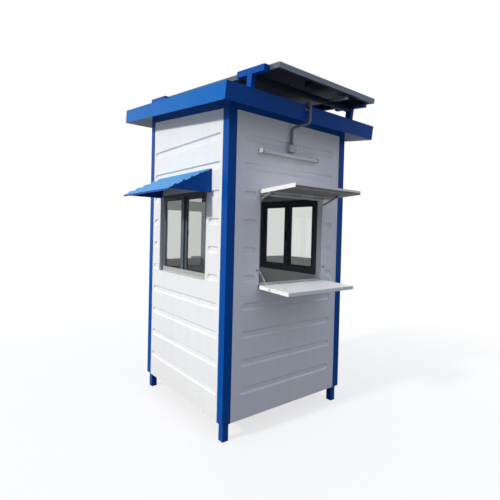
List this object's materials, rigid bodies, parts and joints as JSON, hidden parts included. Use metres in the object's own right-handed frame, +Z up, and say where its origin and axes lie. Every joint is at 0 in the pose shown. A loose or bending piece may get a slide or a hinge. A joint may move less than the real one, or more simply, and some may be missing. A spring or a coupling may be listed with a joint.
{
  "type": "security guard booth",
  "caption": "Small steel guard booth on short feet with a serving hatch, folding flap and counter, sliding windows, awning, door and rooftop solar panel.",
  "frame": {"origin": "centre of the underside of the front left foot", "axes": "+Z up, +X along the hatch wall to the right as seen from outside, +Y from the hatch wall to the door wall"},
  "size_m": [1.7, 1.8224, 2.6759],
  "materials": {
    "blue_paint": "semi-gloss blue enamel on steel",
    "white_paint": "satin off-white paint on pressed steel sheet",
    "window_slate": "slate grey coated aluminium",
    "clear_glass": "clear float glass",
    "black_plastic": "matt black plastic",
    "zinc_steel": "zinc plated steel",
    "mill_aluminium": "anodised aluminium",
    "cell_glass": "dark cells laminated under glass",
    "grey_plastic": "light grey plastic conduit",
    "lamp_white": "opal diffuser",
    "floor_ply": "sealed board"
  },
  "bodies": {
    "cabin": {"awning_cheeks": "blue_paint", "awning_roof": "blue_paint", "back_wall_pier": "white_paint", "back_wall_upper": "white_paint", "cable_duct": "mill_aluminium", "conduit": "grey_plastic", "corner_posts": "blue_paint", "corner_trims": "blue_paint", "door_frame": "window_slate", "door_glass": "clear_glass", "door_handle": "zinc_steel", "door_hinges": "zinc_steel", "door_leaf": "white_paint", "end_fascias": "blue_paint", "floor_board": "floor_ply", "floor_frame": "blue_paint", "front_wall_lower": "white_paint", "front_wall_piers": "white_paint", "front_wall_upper": "white_paint", "hatch_brackets": "zinc_steel", "hatch_head_and_sill": "white_paint", "hatch_hinges": "zinc_steel", "hatch_jambs": "white_paint", "lamp_base": "grey_plastic", "lamp_tube": "lamp_white", "left_wall_lower": "white_paint", "left_wall_piers": "white_paint", "left_wall_upper": "white_paint", "left_window_frame": "window_slate", "left_window_glass": "clear_glass", "left_window_sashes": "window_slate", "panel_frame": "mill_aluminium", "panel_junction_box": "black_plastic", "panel_laminate": "cell_glass", "panel_rails": "blue_paint", "panel_stands": "blue_paint", "right_wall_lower": "white_paint", "right_wall_piers": "white_paint", "right_wall_upper": "white_paint", "right_window_frame": "window_slate", "right_window_glass": "clear_glass", "right_window_sashes": "window_slate", "roof_panel": "white_paint", "side_fascias": "blue_paint", "top_rails": "blue_paint", "wall_box": "grey_plastic", "window_latches": "black_plastic"},
    "flap": {"hatch_flap": "white_paint", "stay_knobs": "black_plastic"},
    "stay_left": {"flap_stay_left": "zinc_steel"},
    "stay_right": {"flap_stay_right": "zinc_steel"},
    "shelf": {"counter_shelf": "white_paint"},
    "tie_left": {"shelf_tie_left": "zinc_steel"},
    "tie_right": {"shelf_tie_right": "zinc_steel"}
  },
  "joints": [
    {"name": "flap_hinge", "type": "hinge", "parent": "cabin", "child": "flap", "pos_m": [0.58, -0.052, 1.715], "axis": [1, 0, 0], "range_deg": [0, 93.5]},
    {"name": "stay_left_pivot", "type": "hinge", "parent": "flap", "child": "stay_left", "pos_m": [0.242, -0.17958, 1.72581], "axis": [1, 0, 0], "range_deg": [-158.77, 0]},
    {"name": "stay_right_pivot", "type": "hinge", "parent": "flap", "child": "stay_right", "pos_m": [0.918, -0.17958, 1.72581], "axis": [1, 0, 0], "range_deg": [-158.77, 0]},
    {"name": "shelf_hinge", "type": "hinge", "parent": "cabin", "child": "shelf", "pos_m": [0.58, -0.052, 1.052], "axis": [1, 0, 0], "range_deg": [-92.4, 0]},
    {"name": "tie_left_pivot", "type": "hinge", "parent": "shelf", "child": "tie_left", "pos_m": [0.237, -0.16865, 1.04111], "axis": [1, 0, 0], "range_deg": [0, 135.93]},
    {"name": "tie_right_pivot", "type": "hinge", "parent": "shelf", "child": "tie_right", "pos_m": [0.923, -0.16865, 1.04111], "axis": [1, 0, 0], "range_deg": [0, 135.93]}
  ],
  "couplings": [
    {"joint": "stay_left_pivot", "follows": "flap_hinge", "ratio": -1.698},
    {"joint": "stay_right_pivot", "follows": "flap_hinge", "ratio": -1.698},
    {"joint": "tie_left_pivot", "follows": "shelf_hinge", "ratio": -1.471},
    {"joint": "tie_right_pivot", "follows": "shelf_hinge", "ratio": -1.471}
  ]
}
